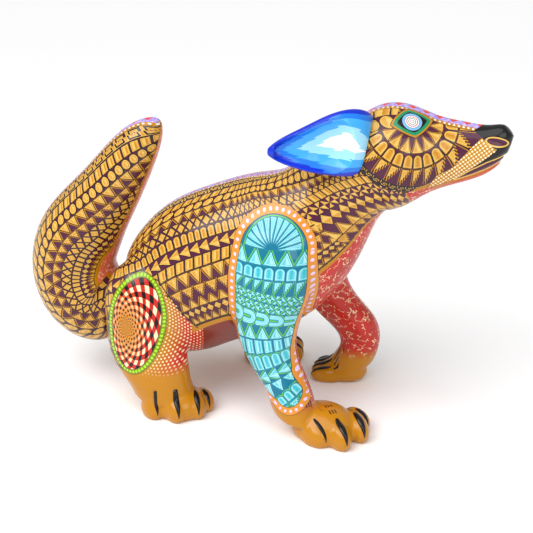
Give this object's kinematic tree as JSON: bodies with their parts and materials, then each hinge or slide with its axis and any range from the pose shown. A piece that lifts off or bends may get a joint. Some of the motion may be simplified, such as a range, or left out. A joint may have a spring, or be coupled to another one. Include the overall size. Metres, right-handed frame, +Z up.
{
  "type": "alebrije figure",
  "caption": "Carved and painted wooden coyote on four paws, nose forward and tail raised, with a tail and ears that lift off on keyed tenons.",
  "frame": {"origin": "centre of the whole figure's box, on the ground plane under the paws", "axes": "+X from tail to nose, +Z up, the animal's right side towards -Y"},
  "size_m": [0.3458, 0.1492, 0.2327],
  "materials": {
    "painted_carving": "hand painted, glossy varnish",
    "painted_tail": "hand painted, glossy varnish",
    "painted_ear": "hand painted, glossy varnish",
    "bare_wood": "bare, sanded"
  },
  "bodies": {
    "carving": {"torso_and_head": "painted_carving", "foreleg_right": "painted_carving", "foreleg_right_dowels": "bare_wood", "foreleg_left": "painted_carving", "foreleg_left_dowels": "bare_wood", "hindleg_right": "painted_carving", "hindleg_right_dowels": "bare_wood", "hindleg_left": "painted_carving", "hindleg_left_dowels": "bare_wood"},
    "tail": {"tail": "painted_tail", "tail_tenon": "bare_wood"},
    "ear_right": {"ear_right": "painted_ear", "ear_right_tenon": "bare_wood"},
    "ear_left": {"ear_left": "painted_ear", "ear_left_tenon": "bare_wood"}
  },
  "joints": [
    {"name": "tail_pull", "type": "slide", "parent": "carving", "child": "tail", "axis": [-0.9848, 0, 0.1736], "range_m": [0, 0.04]},
    {"name": "ear_right_pull", "type": "slide", "parent": "carving", "child": "ear_right", "axis": [-0.623, -0.6016, 0.5], "range_m": [0, 0.03]},
    {"name": "ear_left_pull", "type": "slide", "parent": "carving", "child": "ear_left", "axis": [-0.433, 0.75, 0.5], "range_m": [0, 0.03]}
  ]
}
